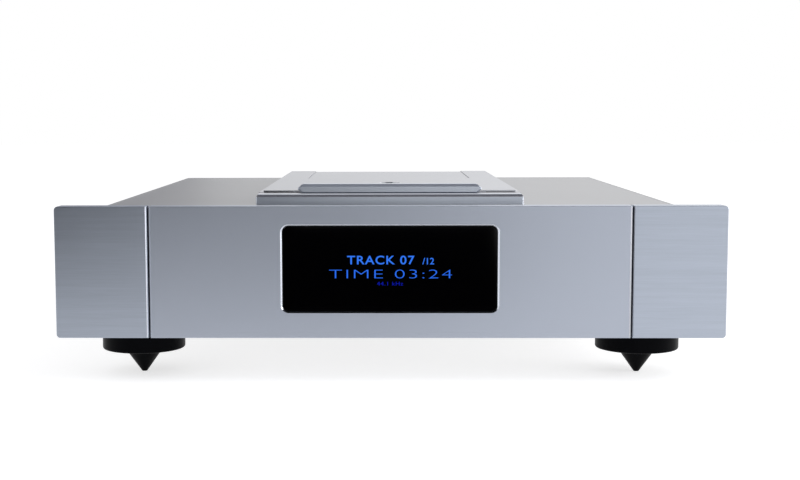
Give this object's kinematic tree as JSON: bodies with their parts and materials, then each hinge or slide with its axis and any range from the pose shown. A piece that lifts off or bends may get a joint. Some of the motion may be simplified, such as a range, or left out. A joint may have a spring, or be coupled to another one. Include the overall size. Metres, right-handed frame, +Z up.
{
  "type": "cd player",
  "caption": "Wide top-loading CD player with a sliding lid, a glass display window and pointed feet.",
  "frame": {"origin": "centre of the player's width and depth, on the plane of the foot tips", "axes": "+X to the right as seen from the front, +Y from the front to the rear, +Z up"},
  "size_m": [0.425, 0.4122, 0.125],
  "materials": {
    "blasted_front": "fine bead blasted, clear anodised",
    "brushed_front": "brushed along the width, clear anodised",
    "brushed_deck": "fine brushed, clear anodised",
    "painted_case": "satin silver paint",
    "zinc_steel": "zinc plated",
    "black_glass": "black glass with lit characters behind it",
    "black_delrin": "turned black acetal, satin",
    "black_plastic": "moulded, satin",
    "black_rubber": "soft rubber",
    "polished_steel": "polished",
    "plated_brass": "gold plated",
    "white_nylon": "moulded nylon",
    "clear_lens": "coated lens",
    "green_board": "solder mask",
    "transformer_wrap": "wound tape"
  },
  "bodies": {
    "player": {"front_centre_panel": "blasted_front", "left_front_wing": "brushed_front", "right_front_wing": "brushed_front", "lid_deck": "brushed_deck", "left_guide_rail": "brushed_deck", "right_guide_rail": "brushed_deck", "top_cover": "painted_case", "left_side_panel": "painted_case", "right_side_panel": "painted_case", "rear_panel": "painted_case", "base_plate": "zinc_steel", "front_subframe": "zinc_steel", "drive_chassis": "zinc_steel", "digital_transformer_clamp": "zinc_steel", "analogue_transformer_clamp": "zinc_steel", "regulator_heat_sink": "zinc_steel", "spindle_motor": "zinc_steel", "sled_motor": "zinc_steel", "display_window": "black_glass", "front_left_foot_collar": "black_delrin", "front_right_foot_collar": "black_delrin", "rear_foot_collar": "black_delrin", "front_left_foot_cone": "black_delrin", "front_right_foot_cone": "black_delrin", "rear_foot_cone": "black_delrin", "display_module": "black_plastic", "disc_well": "black_plastic", "mains_inlet": "black_plastic", "right_balanced_output": "black_plastic", "left_balanced_output": "black_plastic", "digital_balanced_output": "black_plastic", "optical_output": "black_plastic", "filter_capacitor_1": "black_plastic", "filter_capacitor_2": "black_plastic", "drive_grommet_1": "black_rubber", "drive_grommet_2": "black_rubber", "drive_grommet_3": "black_rubber", "drive_grommet_4": "black_rubber", "left_sled_rod": "polished_steel", "right_sled_rod": "polished_steel", "right_jack_output": "plated_brass", "left_jack_output": "plated_brass", "digital_jack_output": "plated_brass", "servo_board": "green_board", "power_board": "green_board", "converter_board": "green_board", "digital_transformer": "transformer_wrap", "analogue_transformer": "transformer_wrap"},
    "lid": {"sliding_lid": "brushed_deck", "lid_handle": "brushed_deck"},
    "disc_hub": {"spindle_hub": "polished_steel", "disc_puck": "black_delrin"},
    "sled": {"laser_sled": "black_plastic", "pickup_lens": "clear_lens"},
    "gear": {"sled_gear": "white_nylon"},
    "pinion": {"motor_pinion": "plated_brass"},
    "rocker": {"power_switch_rocker": "black_plastic"},
    "drawer": {"fuse_drawer": "black_plastic"}
  },
  "joints": [
    {"name": "lid_slide", "type": "slide", "parent": "player", "child": "lid", "axis": [0, 1, 0], "range_m": [0, 0.1685]},
    {"name": "disc_spin", "type": "hinge", "parent": "player", "child": "disc_hub", "pos_m": [0, -0.06315, 0.112], "axis": [0, 0, 1], "continuous": true},
    {"name": "sled_slide", "type": "slide", "parent": "player", "child": "sled", "axis": [0, -1, 0], "range_m": [0, 0.032]},
    {"name": "gear_turn", "type": "hinge", "parent": "player", "child": "gear", "pos_m": [0.0334, -0.10315, 0.099], "axis": [0, 0, 1], "range_deg": [0, 191]},
    {"name": "pinion_turn", "type": "hinge", "parent": "player", "child": "pinion", "pos_m": [0.0334, -0.11755, 0.099], "axis": [0, 0, 1], "range_deg": [-382, 0]},
    {"name": "rocker_turn", "type": "hinge", "parent": "player", "child": "rocker", "pos_m": [-0.1186, 0.19215, 0.08575], "axis": [1, 0, 0], "range_deg": [-14, 0]},
    {"name": "drawer_slide", "type": "slide", "parent": "player", "child": "drawer", "axis": [0, 1, 0], "range_m": [0, 0.01]}
  ],
  "couplings": [
    {"joint": "gear_turn", "follows": "sled_slide", "rad_per_m": 104.17},
    {"joint": "pinion_turn", "follows": "sled_slide", "rad_per_m": -208.33}
  ]
}
